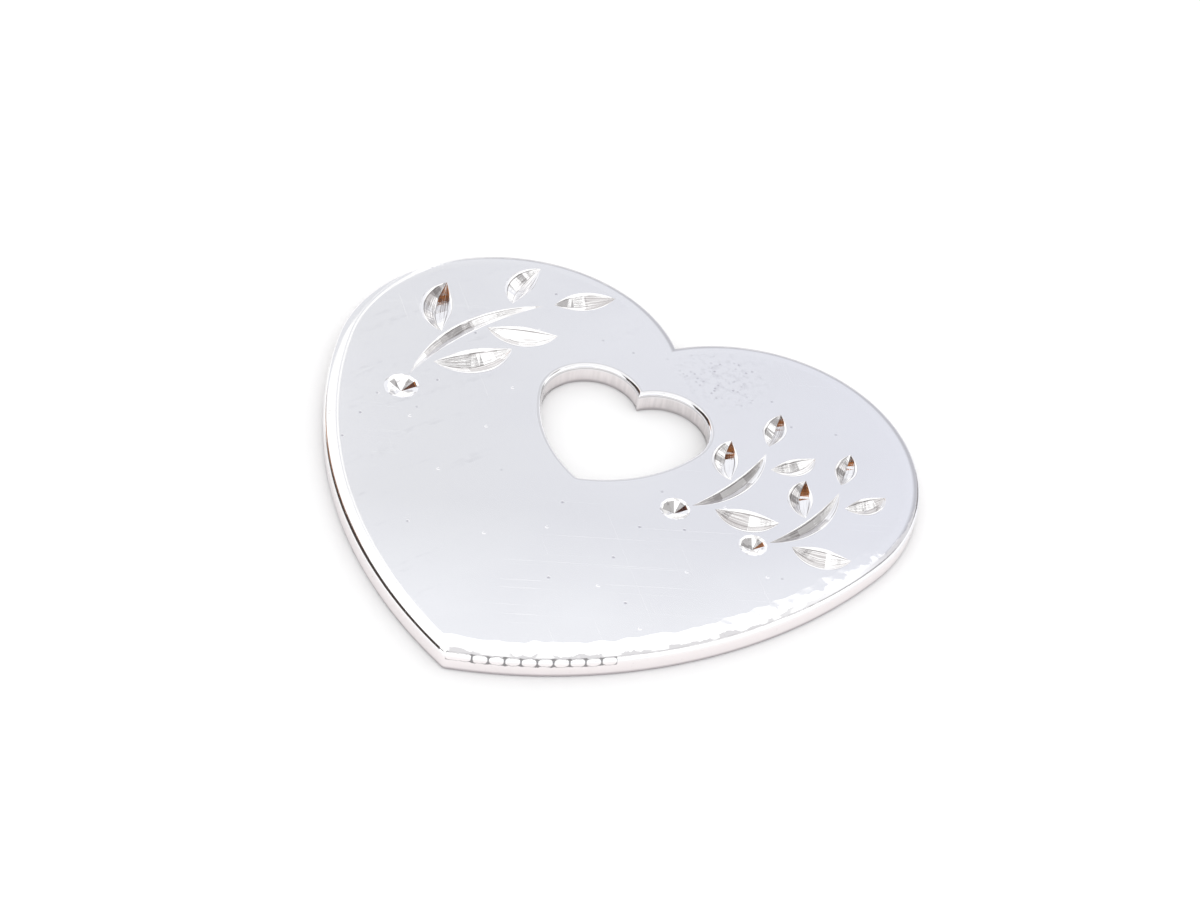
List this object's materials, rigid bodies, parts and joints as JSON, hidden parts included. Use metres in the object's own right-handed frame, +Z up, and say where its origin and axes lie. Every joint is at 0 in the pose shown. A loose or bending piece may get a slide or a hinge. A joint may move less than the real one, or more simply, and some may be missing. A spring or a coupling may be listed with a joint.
{
  "type": "heart plate",
  "caption": "Flat polished heart-shaped metal plate with rounded edges, a heart-shaped window through its upper middle and bright-cut leaf sprigs on both lobes.",
  "frame": {"origin": "on the resting face, under the middle of the outline", "axes": "+X to the right lobe, across the heart; +Y from the tip to the notch; +Z up through the plate, out of the engraved face"},
  "size_m": [0.038, 0.034, 0.0014],
  "materials": {
    "silver_plate": "mirror-polished silver plate with fine handling marks"
  },
  "bodies": {
    "root": {"heart_plate": "silver_plate"}
  },
  "joints": []
}
